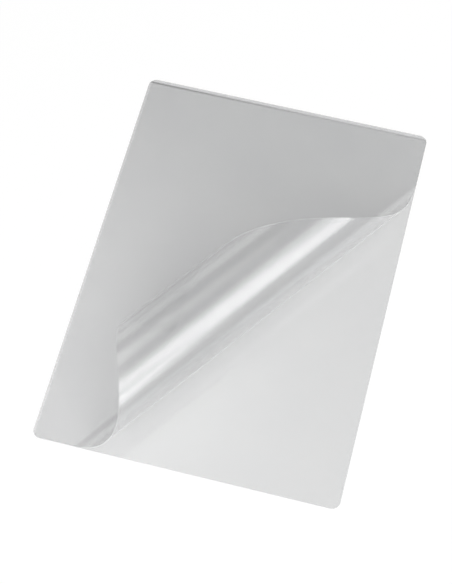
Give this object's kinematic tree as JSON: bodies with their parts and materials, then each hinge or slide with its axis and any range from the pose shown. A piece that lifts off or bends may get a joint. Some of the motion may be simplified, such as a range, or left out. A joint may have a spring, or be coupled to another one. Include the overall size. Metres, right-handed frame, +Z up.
{
  "type": "laminating pouch",
  "caption": "Clear laminating pouch sealed along a short edge, its front film peeled back from one corner into a loose roll.",
  "frame": {"origin": "middle of the pouch's footprint, on the back film's underside", "axes": "+X along the short side, +Y along the long side towards the sealed edge, +Z up from the floor"},
  "size_m": [0.216, 0.303, 0.0474],
  "materials": {
    "back_film": "clear polyester film, grey-white, gloss",
    "front_film": "clear polyester film, grey-white, gloss"
  },
  "bodies": {
    "root": {"back_film": "back_film", "front_film": "front_film"}
  },
  "joints": []
}
